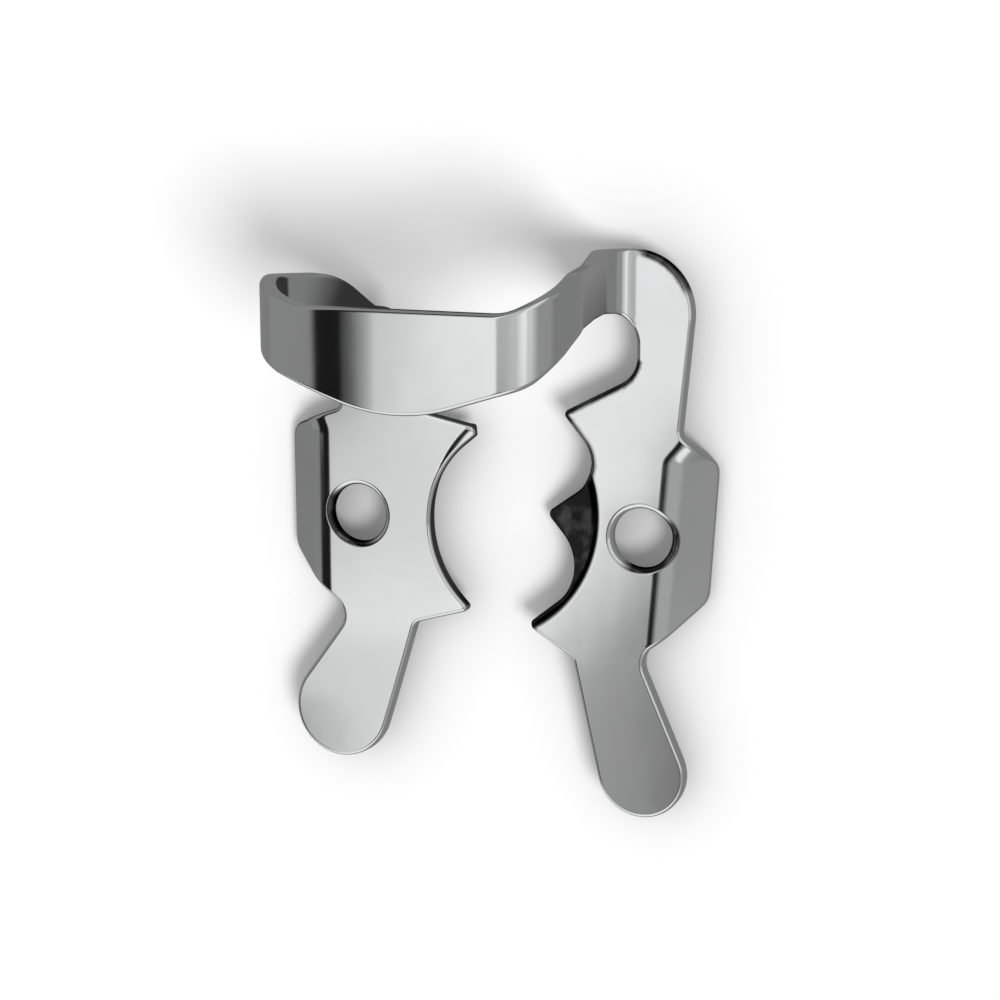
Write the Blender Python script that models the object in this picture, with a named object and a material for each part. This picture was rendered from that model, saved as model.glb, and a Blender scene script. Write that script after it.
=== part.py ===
# Rubber dam clamp: one stamped and press-formed piece of spring steel sheet.
# The blank is drawn flat, with rounded corners and two forceps holes, and a forming rule then
# bends it: the bow up over the tooth, the wings and the jaw lips down, and a tab slightly up.
# The clamp lies on the lower edges of both wings.
# Lengths are in millimetres, angles in degrees; the mesh is built in metres, +Z up.
# +X is the serrated jaw's side, +Y is distal, towards the bow.

from math import atan2, ceil, cos, hypot, pi, radians, sin, sqrt, tan

import bmesh
import bpy
from mathutils import Vector
from mathutils.geometry import delaunay_2d_cdt

METRES_PER_MM = 0.001

# Sheet
SHEET_THICKNESS = 0.8
EDGE_BREAK = 0.12

# Bow, seen from the jaws: flat top, slight crown, shoulders, legs that close in, feet
BOW_RISE = 12.37
BOW_SHIFT = -0.35
EASE_RADIUS = 40.0
CROWN_RADIUS = 11.0
FOOT_RADIUS = 1.5

# Bow edges on the blank, as distances from the middle of the bow and distal places
CREST_DISTAL = 12.12
CREST_MESIAL = 6.95
CREST_ROUND = 9.0
FLARE_START = 5.1
FLARE_END = 8.8
FLARE_ROUND = 3.0
THROAT_OUT = 6.1
THROAT_MESIAL = 8.9
KNEE_OUT = 13.5
KNEE_ROUND = 6.0

# Forceps holes
HOLE_DIAMETER = 3.0
HOLE_EDGE_ROUND = 0.3

# Wings and tabs
WING_FADE = 2.0
FOLD_FLARE_SPAN = 1.4

# Mesh fineness
EDGE_STEP = 0.5
ARC_STEP_DEG = 15.0
GRID_STEP = 0.75
HOLE_SIDES = 28

# Serrated jaw side
SERRATED = {
    "side": 1,
    "flat_half": 4.2,
    "ease_deg": 0.5,
    "crown_deg": 1.0,
    "shoulder_radius": 2.6,
    "leg_lean_deg": 10.5,
    "hole_out": 7.35,
    "hole_distal": -0.15,
    "leg_mesial": 11.1,
    "leg_distal": 13.7,
    "knee_mesial": 11.1,
    "knee_distal": 13.65,
    "foot_mesial": 10.85,
    "foot_distal": 14.0,
    "heel_out": 10.08,
    "heel_round": 3.1,
    "arm_out": 9.26,
    "notch_out": 7.02,
    "notch_distal": 9.35,
    "notch_round": 1.5,
    "notch_mesial": 7.9,
    "wing_top": 5.03,
    "wing_shoulder": 3.6,
    "wing_out": 11.15,
    "wing_foot_out": 10.71,
    "wing_foot": -3.3,
    "wing_round": 1.1,
    "fold_out": 8.12,
    "fold_skew": 0.075,
    "fold_flare": 0.75,
    "fold_radius": 1.6,
    "wing_angle_deg": 33.8,
    "wing_twist_deg": 0.7,
    "neck_out": 7.3,
    "neck_in": 3.85,
    "neck_distal": -6.2,
    "neck_mesial": -6.55,
    "tab_out": 7.4,
    "tab_mesial": -12.0,
    "tab_radius": 2.5,
    "tab_curl": 0.0,
    "lip_centre_in": 1.7,
    "lip_centre_distal": 0.7,
    "lip_radius": 7.0,
    "lip_bend": 1.2,
    "lip_angle": 21.0,
    "prongs": [(3.19, 5.88), (2.08, 0.55), (1.42, -5.1)],
    "bites": [(5.55, 3.05, 1.8), (5.05, -2.15, 2.2)],
    "prong_rounds": [0.15, 0.35, 0.2],
}

# Smooth jaw side
SMOOTH = {
    "side": -1,
    "flat_half": 0.9,
    "ease_deg": 2.3,
    "crown_deg": 17.7,
    "shoulder_radius": 2.7,
    "leg_lean_deg": 16.5,
    "hole_out": 7.85,
    "hole_distal": 0.0,
    "leg_mesial": 10.0,
    "leg_distal": 13.15,
    "knee_mesial": 9.9,
    "knee_distal": 12.85,
    "foot_mesial": 8.25,
    "foot_distal": 10.7,
    "heel_out": 9.9,
    "heel_round": 2.2,
    "arm_out": 8.7,
    "notch_out": 7.4,
    "notch_distal": 7.15,
    "notch_round": 1.0,
    "notch_mesial": 6.1,
    "wing_top": 5.5,
    "wing_shoulder": 4.2,
    "wing_out": 12.3,
    "wing_foot_out": 12.25,
    "wing_foot": -2.2,
    "wing_round": 1.0,
    "fold_out": 9.38,
    "fold_skew": 0.0,
    "fold_flare": 0.4,
    "fold_radius": 1.8,
    "wing_angle_deg": 33.7,
    "wing_twist_deg": 0.0,
    "neck_out": 8.4,
    "neck_in": 4.7,
    "neck_distal": -5.3,
    "neck_mesial": -5.5,
    "tab_out": 8.65,
    "tab_mesial": -9.95,
    "tab_radius": 3.1,
    "tab_curl": 0.4,
    "lip_centre_in": 2.55,
    "lip_centre_distal": 0.2,
    "lip_radius": 6.45,
    "lip_bend": 0.8,
    "lip_angle": 38.0,
    "prongs": [(1.16, 4.83), (1.65, -4.6)],
    "bites": [(6.35, 0.2, 5.6)],
    "prong_rounds": [0.25, 0.25],
}


def clear_scene():
    for item in list(bpy.data.objects):
        bpy.data.objects.remove(item, do_unlink=True)


def smooth_step(value):
    value = min(max(value, 0.0), 1.0)
    return value * value * (3 - 2 * value)


def leg_turn(jaw):
    """Turn of the sheet from the bow's flat top to its leg, which leans in."""
    return pi / 2 + radians(jaw["leg_lean_deg"])


def leg_length(jaw):
    """Straight length of a leg, so that its foot comes down to the level of the plates."""
    ease = radians(jaw["ease_deg"])
    crown = ease + radians(jaw["crown_deg"])
    turn = leg_turn(jaw)
    bends = EASE_RADIUS * (1 - cos(ease)) + CROWN_RADIUS * (cos(ease) - cos(crown))
    bends += jaw["shoulder_radius"] * (cos(crown) - cos(turn)) + FOOT_RADIUS * (1 - cos(turn))
    return (BOW_RISE - bends) / sin(turn)


def bow_segments(jaw):
    """Length and turn of each stretch of half the bow, from its middle to the foot."""
    ease = radians(jaw["ease_deg"])
    crown = radians(jaw["crown_deg"])
    turn = leg_turn(jaw)
    shoulder = turn - crown - ease
    return [
        (jaw["flat_half"], 0.0),
        (EASE_RADIUS * ease, ease),
        (CROWN_RADIUS * crown, crown),
        (jaw["shoulder_radius"] * shoulder, shoulder),
        (leg_length(jaw), 0.0),
        (FOOT_RADIUS * turn, -turn),
    ]


def foot_end(jaw):
    """Distance along the blank from the middle of the bow to where the foot lies flat."""
    return sum(length for length, _ in bow_segments(jaw))


def bow_section(jaw, along):
    """Place of the sheet's middle on the bow, outward and up, at a distance from its centre."""
    out = 0.0
    up = jaw_height() + BOW_RISE
    heading = 0.0
    left = along
    for length, turn in bow_segments(jaw):
        run = min(left, length)
        if turn:
            radius = length / turn
            ahead = heading + run / radius
            out += radius * (sin(ahead) - sin(heading))
            up -= radius * (cos(heading) - cos(ahead))
            heading = ahead
        else:
            out += run * cos(heading)
            up -= run * sin(heading)
        left -= run
    return out, up


def blank_offset(jaw):
    """Blank distance from the middle of the bow to a point above the tooth's middle."""
    foot_out = bow_section(jaw, foot_end(jaw))[0]
    return foot_end(jaw) - foot_out - jaw["side"] * BOW_SHIFT


def wing_angle(jaw, distal):
    """How far the wing is folded down, which may change a little along it."""
    return radians(jaw["wing_angle_deg"] + jaw["wing_twist_deg"] * distal)


def fold_line(jaw, distal):
    """Outward place of the wing's fold, which flares out at the wing's distal corner."""
    flare = smooth_step((distal - jaw["wing_top"] + FOLD_FLARE_SPAN) / FOLD_FLARE_SPAN)
    return jaw["fold_out"] + jaw["fold_skew"] * distal + jaw["fold_flare"] * flare


def wing_bend(jaw, out, distal):
    """Shift outward and drop of the sheet beyond the wing's fold line."""
    scale = 1 / hypot(1, jaw["fold_skew"])
    past = (out - fold_line(jaw, distal)) * scale
    fade = smooth_step((distal - jaw["wing_top"] + WING_FADE / 2) / WING_FADE)
    fade += smooth_step((jaw["neck_distal"] + WING_FADE / 2 - distal) / WING_FADE)
    angle = wing_angle(jaw, distal) * (1 - fade)
    if past <= 0 or angle <= 0:
        return 0.0, 0.0, 0.0
    radius = jaw["fold_radius"]
    turned = min(past / radius, angle)
    straight = past - turned * radius
    reach = radius * sin(turned) + straight * cos(turned)
    drop = radius * (1 - cos(turned)) + straight * sin(turned)
    shift = (reach - past) * scale
    return shift, -shift * jaw["fold_skew"], drop


def lip_drop(jaw, out, distal):
    """Drop of the jaw's lip, which follows a circle around the tooth."""
    away = hypot(out + jaw["lip_centre_in"], distal - jaw["lip_centre_distal"])
    past = jaw["lip_radius"] - away
    if past <= 0:
        return 0.0
    angle = radians(jaw["lip_angle"])
    bend = jaw["lip_bend"]
    run = bend * sin(angle)
    if past < run:
        return bend - sqrt(bend * bend - past * past)
    return bend * (1 - cos(angle)) + (past - run) * tan(angle)


def jaw_height():
    """Height of the level plates' middle, with the lowest wing edge on the table."""
    depths = []
    for jaw in (SERRATED, SMOOTH):
        corners = ((jaw["wing_out"], jaw["wing_shoulder"]), (jaw["wing_foot_out"], jaw["wing_foot"]))
        for out, distal in corners:
            lower_edge = SHEET_THICKNESS / 2 * cos(wing_angle(jaw, distal))
            depths.append(wing_bend(jaw, out, distal)[2] + lower_edge)
    return max(depths)


def tab_rise(jaw, distal):
    """Rise of a tab that curls up from the neck to its end."""
    start = jaw["neck_mesial"]
    share = max(0.0, (start - distal) / (start - jaw["tab_mesial"] + jaw["tab_radius"]))
    return jaw["tab_curl"] * share * share


def is_bow(jaw, along, distal):
    if along >= foot_end(jaw):
        return False
    inner_prong = min(point[0] for point in jaw["prongs"]) + blank_offset(jaw)
    return distal > jaw["notch_distal"] or along < inner_prong - 2 * SHEET_THICKNESS


def formed_middle(across, distal):
    """Formed place of a blank point; across is signed, measured from the middle of the bow."""
    jaw = SERRATED if across >= 0 else SMOOTH
    along = abs(across)
    if is_bow(jaw, along, distal):
        out, up = bow_section(jaw, along)
        return Vector((BOW_SHIFT + jaw["side"] * out, distal, up))
    out = along - blank_offset(jaw)
    shift_out, shift_distal, drop = wing_bend(jaw, out, distal)
    up = jaw_height() - drop - lip_drop(jaw, out, distal) + tab_rise(jaw, distal)
    return Vector((jaw["side"] * (out + shift_out), distal + shift_distal, up))


def formed(across, distal, height):
    """Formed place of a point of the sheet, at a height above the sheet's middle."""
    probe = 0.02
    slope_across = formed_middle(across + probe, distal) - formed_middle(across - probe, distal)
    slope_distal = formed_middle(across, distal + probe) - formed_middle(across, distal - probe)
    normal = slope_across.cross(slope_distal).normalized()
    return formed_middle(across, distal) + normal * height


def fillet_reach(corners, index):
    """How far a corner's fillet reaches along its two sides, if there is room for it."""
    if index in (0, len(corners) - 1):
        return 0.0
    here = Vector(corners[index][:2])
    back = Vector(corners[index - 1][:2]) - here
    ahead = Vector(corners[index + 1][:2]) - here
    return corners[index][2] / tan(back.angle(ahead) / 2)


def rounded_chain(corners):
    """Points along a chain of corners (x, y, radius), straight runs and arcs."""
    reaches = [fillet_reach(corners, index) for index in range(len(corners))]
    points = [Vector(corners[0][:2])]
    for index in range(1, len(corners) - 1):
        here = Vector(corners[index][:2])
        back = Vector(corners[index - 1][:2]) - here
        ahead = Vector(corners[index + 1][:2]) - here
        half = back.angle(ahead) / 2
        room_back = back.length / max(reaches[index] + reaches[index - 1], back.length)
        room_ahead = ahead.length / max(reaches[index] + reaches[index + 1], ahead.length)
        reach = reaches[index] * min(room_back, room_ahead)
        radius = reach * tan(half)
        centre = here + (back.normalized() + ahead.normalized()).normalized() * radius / sin(half)
        first = here + back.normalized() * reach - centre
        turn = first.angle_signed(here + ahead.normalized() * reach - centre)
        steps = max(1, ceil(abs(turn) / radians(ARC_STEP_DEG)), ceil(abs(turn) * radius / EDGE_STEP))
        start = atan2(first.y, first.x)
        for step in range(steps + 1):
            angle = start - turn * step / steps
            points.append(centre + Vector((cos(angle), sin(angle))) * radius)
    points.append(Vector(corners[-1][:2]))
    return filled_runs(points)


def filled_runs(points):
    """The same chain with its long straight runs divided, and without doubled points."""
    chain = [points[0]]
    for point in points[1:]:
        gap = point - chain[-1]
        if gap.length < EDGE_BREAK / 2:
            continue
        pieces = ceil(gap.length / (1.3 * EDGE_STEP))
        start = chain[-1].copy()
        chain.extend(start + gap * step / pieces for step in range(1, pieces + 1))
    return chain


def jaw_corners(jaw):
    """Corners of the prongs and the bites between them, from the distal prong."""
    corners = []
    for index, prong in enumerate(jaw["prongs"]):
        corners.append((*prong, jaw["prong_rounds"][index]))
        if index < len(jaw["bites"]):
            corners.append(jaw["bites"][index])
    return corners


def tab_corners(jaw):
    """The two corners that round off a tab's end, outer one first."""
    middle_of_neck = (jaw["neck_out"] + jaw["neck_in"]) / 2
    lean = jaw["tab_out"] - middle_of_neck
    depth = jaw["neck_mesial"] - jaw["tab_mesial"]
    axis = Vector((lean, -depth)).normalized()
    aside = Vector((-axis.y, axis.x))
    end = Vector((jaw["tab_out"], jaw["tab_mesial"])) + axis * jaw["tab_radius"]
    outer = end + aside * jaw["tab_radius"]
    inner = end - aside * jaw["tab_radius"]
    return [(*outer, jaw["tab_radius"]), (*inner, jaw["tab_radius"])]


def side_chain(jaw):
    """Half of the blank's outline, from the bow's distal edge round to its mesial edge."""
    offset = blank_offset(jaw)
    leg_end = foot_end(jaw) - FOOT_RADIUS * leg_turn(jaw)
    bow = [
        (0.0, CREST_DISTAL, 0.0),
        (FLARE_START, CREST_DISTAL, FLARE_ROUND),
        (FLARE_END, jaw["leg_distal"], FLARE_ROUND),
        (KNEE_OUT, jaw["knee_distal"], KNEE_ROUND),
        (leg_end, jaw["foot_distal"], FLARE_ROUND),
    ]
    plate = [
        (jaw["heel_out"], jaw["foot_distal"], jaw["heel_round"]),
        (jaw["arm_out"], jaw["wing_top"], jaw["wing_round"] / 2),
        (jaw["wing_out"], jaw["wing_shoulder"], jaw["wing_round"]),
        (jaw["wing_foot_out"], jaw["wing_foot"], jaw["wing_round"]),
        (jaw["neck_out"], jaw["neck_distal"], jaw["wing_round"]),
        *tab_corners(jaw),
        (jaw["neck_in"], jaw["neck_mesial"], jaw["wing_round"] / 2),
        *reversed(jaw_corners(jaw)),
        (jaw["notch_out"], jaw["notch_mesial"], jaw["notch_round"]),
        (jaw["notch_out"], jaw["foot_mesial"], jaw["notch_round"]),
    ]
    back = [
        (KNEE_OUT, jaw["knee_mesial"], KNEE_ROUND),
        (FLARE_END, jaw["leg_mesial"], FLARE_ROUND),
        (THROAT_OUT, THROAT_MESIAL, FLARE_ROUND),
        (0.0, CREST_MESIAL, 0.0),
    ]
    return bow + [(x + offset, y, r) for x, y, r in plate] + back


def blank_outline():
    """Closed outline of the whole blank, clockwise seen from above."""
    right = side_chain(SERRATED)
    left = [(-x, y, r) for x, y, r in reversed(side_chain(SMOOTH))]
    ring = right[:-1] + [(0.0, CREST_MESIAL, CREST_ROUND)] + left[1:-1]
    middle_of_crest = (0.0, CREST_DISTAL, 0.0)
    points = rounded_chain([middle_of_crest] + ring[1:] + [middle_of_crest])
    return points[:-1]


def hole_ring(jaw, around=0.0):
    """Outline of a forceps hole, or a circle around it, with the sheet on its right."""
    centre = Vector((jaw["side"] * (jaw["hole_out"] + blank_offset(jaw)), jaw["hole_distal"]))
    angles = [2 * pi * step / HOLE_SIDES for step in range(HOLE_SIDES)]
    radius = HOLE_DIAMETER / 2 + around
    return [centre + Vector((cos(angle), sin(angle))) * radius for angle in angles]


def inward_normals(ring):
    """Unit normals that point into the sheet, which lies to the right of the ring."""
    normals = []
    for index, point in enumerate(ring):
        along = ring[(index + 1) % len(ring)] - ring[index - 1]
        normals.append(Vector((along.y, -along.x)).normalized())
    return normals


def inside(point, ring):
    crossings = 0
    for index, corner in enumerate(ring):
        other = ring[index - 1]
        if (corner.y > point.y) != (other.y > point.y):
            share = (point.y - corner.y) / (other.y - corner.y)
            crossings += point.x < corner.x + share * (other.x - corner.x)
    return crossings % 2 == 1


def clear_of(point, rings, gap):
    return all((point - corner).length > gap for ring in rings for corner in ring)


def span(start, end, step):
    pieces = max(1, ceil((end - start) / step))
    return [start + (end - start) * index / pieces for index in range(pieces + 1)]


def bend_stations(jaw):
    """Places along the bow where its section changes, with steps through its bends."""
    stations = []
    start = 0.0
    for length, turn in bow_segments(jaw):
        steps = max(length / (3 * GRID_STEP), abs(turn) / radians(1.5 * ARC_STEP_DEG))
        stations += span(start, start + length, length / steps)
        start += length
    return [(jaw["side"] * along, distal)
            for along in stations
            for distal in span(CREST_MESIAL, jaw["foot_distal"], GRID_STEP)
            if is_bow(jaw, along, distal) or along == start]


def plate_points(jaw):
    """Inner mesh points of a jaw plate, closer together where the sheet is bent."""
    offset = blank_offset(jaw)
    low = jaw["tab_mesial"] - jaw["tab_radius"]
    rows = span(low, jaw["foot_distal"], GRID_STEP)
    columns = span(min(point[0] for point in jaw["prongs"]), jaw["wing_out"], GRID_STEP)
    points = []
    for row, distal in enumerate(rows):
        for column, out in enumerate(columns):
            if is_bow(jaw, out + offset, distal):
                continue
            bent = formed(jaw["side"] * (out + offset), distal, 1.0)
            bent = bent - formed(jaw["side"] * (out + offset), distal, 0.0)
            if abs(bent.z) < 0.9999 or (row % 2 == 0 and column % 2 == 0):
                points.append((jaw["side"] * (out + offset), distal))
    return points


def sheet_triangles(rings):
    """Points and triangles of the sheet between its outline and its holes."""
    places = [point for ring in rings for point in ring]
    edges = []
    hole_points = []
    first = 0
    for ring in rings:
        count = len(ring)
        edges += [(first + index, first + (index + 1) % count) for index in range(count)]
        hole_points.append(set(range(first, first + count)))
        first += count
    gap = 0.55 * GRID_STEP
    for jaw in (SERRATED, SMOOTH):
        collar = hole_ring(jaw, HOLE_EDGE_ROUND + EDGE_STEP)
        for spot in collar + bend_stations(jaw) + plate_points(jaw):
            point = Vector(spot)
            if not inside(point, rings[0]) or any(inside(point, hole) for hole in rings[1:]):
                continue
            if clear_of(point, rings, gap) and clear_of(point, [places[first:]], gap / 2):
                places.append(point)
    inside_edges = 1
    points, _, faces, _, _, _ = delaunay_2d_cdt(places, edges, [], inside_edges, 1e-7)
    return points, [face for face in faces if not any(set(face) <= hole for hole in hole_points[1:])]


def build_clamp(name):
    outlines = [blank_outline(), hole_ring(SERRATED), hole_ring(SMOOTH)]
    breaks = [EDGE_BREAK, HOLE_EDGE_ROUND, HOLE_EDGE_ROUND]
    half = SHEET_THICKNESS / 2
    normals = [inward_normals(ring) for ring in outlines]
    insets = [[point + normal * depth for point, normal in zip(ring, ring_normals)]
              for ring, ring_normals, depth in zip(outlines, normals, breaks)]
    points, triangles = sheet_triangles(insets)

    mesh = bmesh.new()
    upper = [mesh.verts.new(formed(point.x, point.y, half)) for point in points]
    lower = [mesh.verts.new(formed(point.x, point.y, -half)) for point in points]
    for face in triangles:
        mesh.faces.new([upper[index] for index in face])
        mesh.faces.new([lower[index] for index in reversed(face)])

    first = 0
    for ring, depth in zip(outlines, breaks):
        count = len(ring)
        wall_top = [mesh.verts.new(formed(point.x, point.y, half - depth)) for point in ring]
        wall_low = [mesh.verts.new(formed(point.x, point.y, depth - half)) for point in ring]
        levels = [upper[first:first + count], wall_top, wall_low, lower[first:first + count]]
        for above, below in zip(levels, levels[1:]):
            for index in range(count):
                after = (index + 1) % count
                mesh.faces.new([above[index], above[after], below[after], below[index]])
        first += count

    bmesh.ops.recalc_face_normals(mesh, faces=mesh.faces)
    bmesh.ops.triangulate(mesh, faces=[face for face in mesh.faces if len(face.verts) > 3])
    stand_on_table(mesh)
    bmesh.ops.scale(mesh, vec=Vector((METRES_PER_MM,) * 3), verts=mesh.verts)
    data = bpy.data.meshes.new(name)
    mesh.to_mesh(data)
    mesh.free()
    clamp = bpy.data.objects.new(name, data)
    bpy.context.scene.collection.objects.link(clamp)
    data.shade_smooth()
    data.set_sharp_from_angle(angle=radians(30))
    return clamp


def stand_on_table(mesh):
    """The origin goes under the middle of the clamp's box, at table height."""
    places = [vertex.co for vertex in mesh.verts]
    middle = [(min(place[axis] for place in places) + max(place[axis] for place in places)) / 2
              for axis in range(2)]
    low = min(place.z for place in places)
    bmesh.ops.translate(mesh, vec=Vector((-middle[0], -middle[1], -low)), verts=mesh.verts)


def polished_steel():
    steel = bpy.data.materials.new("polished_steel")
    steel.use_nodes = True
    shader = steel.node_tree.nodes["Principled BSDF"]
    shader.inputs["Base Color"].default_value = (0.76, 0.765, 0.77, 1.0)
    shader.inputs["Metallic"].default_value = 1.0
    shader.inputs["Roughness"].default_value = 0.12
    return steel


def main():
    clear_scene()
    clamp = build_clamp("clamp_body")
    clamp.data.materials.append(polished_steel())


main()
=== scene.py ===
from math import ceil, cos, hypot, pi, radians, sin, tan

import bpy
import numpy as np
from bpy.props import FloatProperty, FloatVectorProperty, PointerProperty
from mathutils import Matrix, Vector
from mathutils.geometry import delaunay_2d_cdt
from mathutils.kdtree import KDTree


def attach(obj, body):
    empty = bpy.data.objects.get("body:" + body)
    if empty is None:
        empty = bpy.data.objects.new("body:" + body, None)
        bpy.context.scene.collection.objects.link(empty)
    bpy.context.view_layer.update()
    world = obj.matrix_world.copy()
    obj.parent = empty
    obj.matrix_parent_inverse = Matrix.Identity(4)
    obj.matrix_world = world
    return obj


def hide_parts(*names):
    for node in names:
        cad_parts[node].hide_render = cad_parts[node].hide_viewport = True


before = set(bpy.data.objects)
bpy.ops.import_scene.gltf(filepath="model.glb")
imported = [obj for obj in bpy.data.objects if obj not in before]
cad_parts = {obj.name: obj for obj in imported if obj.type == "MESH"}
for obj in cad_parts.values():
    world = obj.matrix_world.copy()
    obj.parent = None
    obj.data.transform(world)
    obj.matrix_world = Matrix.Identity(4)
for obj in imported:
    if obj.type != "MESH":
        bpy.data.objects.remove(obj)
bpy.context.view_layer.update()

bl_info = {
    "name": "Rubber dam clamp",
    "version": (1, 0, 0),
    "blender": (4, 5, 0),
    "location": "3D View > Sidebar > Dam Clamp",
    "description": "Presses a polished rubber dam clamp from a flat blank and lights it",
    "category": "Add Mesh",
}

MM = 0.001

# The clamp's own sizes in millimetres and degrees, as its solid has them
BOW_RISE = 12.37
BOW_SHIFT = -0.35
EASE_RADIUS = 40.0
CROWN_RADIUS = 11.0
FOOT_RADIUS = 1.5
CREST_DISTAL = 12.12
CREST_MESIAL = 6.95
CREST_ROUND = 9.0
FLARE_START = 5.1
FLARE_END = 8.8
FLARE_ROUND = 3.0
THROAT_OUT = 6.1
THROAT_MESIAL = 8.9
KNEE_OUT = 13.5
KNEE_ROUND = 6.0
WING_FADE = 2.0
FOLD_FLARE_SPAN = 1.4

# Serrated jaw side
SERRATED = {
    "side": 1,
    "flat_half": 4.2,
    "ease_deg": 0.5,
    "crown_deg": 1.0,
    "shoulder_radius": 2.6,
    "leg_lean_deg": 10.5,
    "hole_out": 7.35,
    "hole_distal": -0.15,
    "leg_mesial": 11.1,
    "leg_distal": 13.7,
    "knee_mesial": 11.1,
    "knee_distal": 13.65,
    "foot_mesial": 10.85,
    "foot_distal": 14.0,
    "heel_out": 10.08,
    "heel_round": 3.1,
    "arm_out": 9.26,
    "notch_out": 7.02,
    "notch_distal": 9.35,
    "notch_round": 1.5,
    "notch_mesial": 7.9,
    "wing_top": 5.03,
    "wing_shoulder": 3.6,
    "wing_out": 11.15,
    "wing_foot_out": 10.71,
    "wing_foot": -3.3,
    "wing_round": 1.1,
    "fold_out": 8.12,
    "fold_skew": 0.075,
    "fold_flare": 0.75,
    "fold_radius": 1.6,
    "wing_angle_deg": 33.8,
    "wing_twist_deg": 0.7,
    "neck_out": 7.3,
    "neck_in": 3.85,
    "neck_distal": -6.2,
    "neck_mesial": -6.55,
    "tab_out": 7.4,
    "tab_mesial": -12.0,
    "tab_radius": 2.5,
    "tab_curl": 0.0,
    "lip_centre_in": 1.7,
    "lip_centre_distal": 0.7,
    "lip_radius": 7.0,
    "lip_bend": 1.2,
    "lip_angle": 21.0,
    "prongs": [(3.19, 5.88), (2.08, 0.55), (1.42, -5.1)],
    "bites": [(5.55, 3.05, 1.8), (5.05, -2.15, 2.2)],
    "prong_rounds": [0.26, 0.35, 0.26],
    # Painted dark reflection on the lip: its strength, its reach past the lip line, and where and over
    # what run it fades out distally
    "painted_lip_strength": 1.0,
    "painted_lip_reach": -0.02,
    "painted_lip_start": 6.5,
    "painted_lip_run": 1.0,
}

# Smooth jaw side
SMOOTH = {
    "side": -1,
    "flat_half": 0.9,
    "ease_deg": 2.3,
    "crown_deg": 17.7,
    "shoulder_radius": 2.7,
    "leg_lean_deg": 16.5,
    "hole_out": 7.85,
    "hole_distal": 0.0,
    "leg_mesial": 10.0,
    "leg_distal": 13.15,
    "knee_mesial": 9.9,
    "knee_distal": 12.85,
    "foot_mesial": 8.25,
    "foot_distal": 10.7,
    "heel_out": 9.9,
    "heel_round": 2.2,
    "arm_out": 8.7,
    "notch_out": 7.4,
    "notch_distal": 7.15,
    "notch_round": 1.0,
    "notch_mesial": 6.1,
    "wing_top": 5.5,
    "wing_shoulder": 4.2,
    "wing_out": 12.3,
    "wing_foot_out": 12.25,
    "wing_foot": -2.2,
    "wing_round": 1.0,
    "fold_out": 9.38,
    "fold_skew": 0.0,
    "fold_flare": 0.4,
    "fold_radius": 1.8,
    "wing_angle_deg": 33.7,
    "wing_twist_deg": 0.0,
    "neck_out": 8.4,
    "neck_in": 4.7,
    "neck_distal": -5.3,
    "neck_mesial": -5.5,
    "tab_out": 8.65,
    "tab_mesial": -9.95,
    "tab_radius": 3.1,
    "tab_curl": 0.4,
    "lip_centre_in": 2.55,
    "lip_centre_distal": 0.2,
    "lip_radius": 6.45,
    "lip_bend": 0.8,
    "lip_angle": 38.0,
    "prongs": [(1.16, 4.83), (1.65, -4.6)],
    "bites": [(6.35, 0.2, 5.6)],
    "prong_rounds": [0.26, 0.26],
    # Painted dark reflection on the lip: its strength, its reach past the lip line, and where and over
    # what run it fades out distally
    "painted_lip_strength": 0.95,
    "painted_lip_reach": 0.0,
    "painted_lip_start": 3.0,
    "painted_lip_run": 5.5,
}

ARC_STEP_DEG = 9.0
RIM_STEPS = 5

# How closely the mesh follows the sheet: gaps in millimetres, the others as shares of its step
RUN_SHARE = 1.2
HOLE_STEPS = 1.5
ROW_SHARE = 0.866
BEND_LINES = 3
BEND_POINT_SHARE = 0.7
RIM_LINE_SHARE = 0.75
GRID_CLEARANCE = 0.6
BEND_CLEARANCE = 0.3
BEND_RUN_OUT = 1.0
LIP_HALF_TURN = 1.2
DOUBLED_GAP = 0.01
MERGE_GAP = 1e-7

# Painted dark reflections and shade on the steel, in millimetres on the blank. The turns are cosines away
# from a mark's way, and a bite's or notch's mark has its span outward, its span distal and its strength
PAINTED_LIP_FADE = 0.15
PAINTED_LIP_PAST_WING = 1.4
PAINTED_LIP_END_FADE = 0.6
# Painted shade on one side of each forceps hole: its way, turn, reach and fade
PAINTED_HOLE_WAY = (0.78, -0.62)
PAINTED_HOLE_TURN = (-0.1, 0.4)
PAINTED_HOLE_REACH = 1.79
PAINTED_HOLE_FADE = 0.06
# Painted dark reflection along the serrated side's bite, notch and knee edges
PAINTED_BITE_DARK = ((2.2, 6.2), (0.6, 5.4), 0.75)
PAINTED_NOTCH_DARK = ((2.8, 7.3), (5.4, 8.7), 1.0)
PAINTED_KNEE_WAY = (0.55, 0.835)
PAINTED_KNEE_TURN = (0.8, 0.92)
PAINTED_EDGE_WIDTH = 0.34
PAINTED_EDGE_FADE = 0.14
PAINTED_EDGE_STEP = 0.05
# Colour of the painted dark reflections and shade
PAINTED_DARK_TONE = 0.05

# Polish: scale and detail of each fine pattern, and what it changes
# The mottle breaks up the painted dark reflections and shade
MOTTLE = (900.0, 3.0)
MOTTLE_SPAN = (0.5, 0.75, 1.0, 0.7)
SMEARS = (260.0, 4.0)
SMEAR_SPAN = (0.35, 0.75)
SMEAR_ROUGHNESS = 0.06
WAVES = (420.0, 1.0)
WAVE_DEPTH = 0.0002

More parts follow.
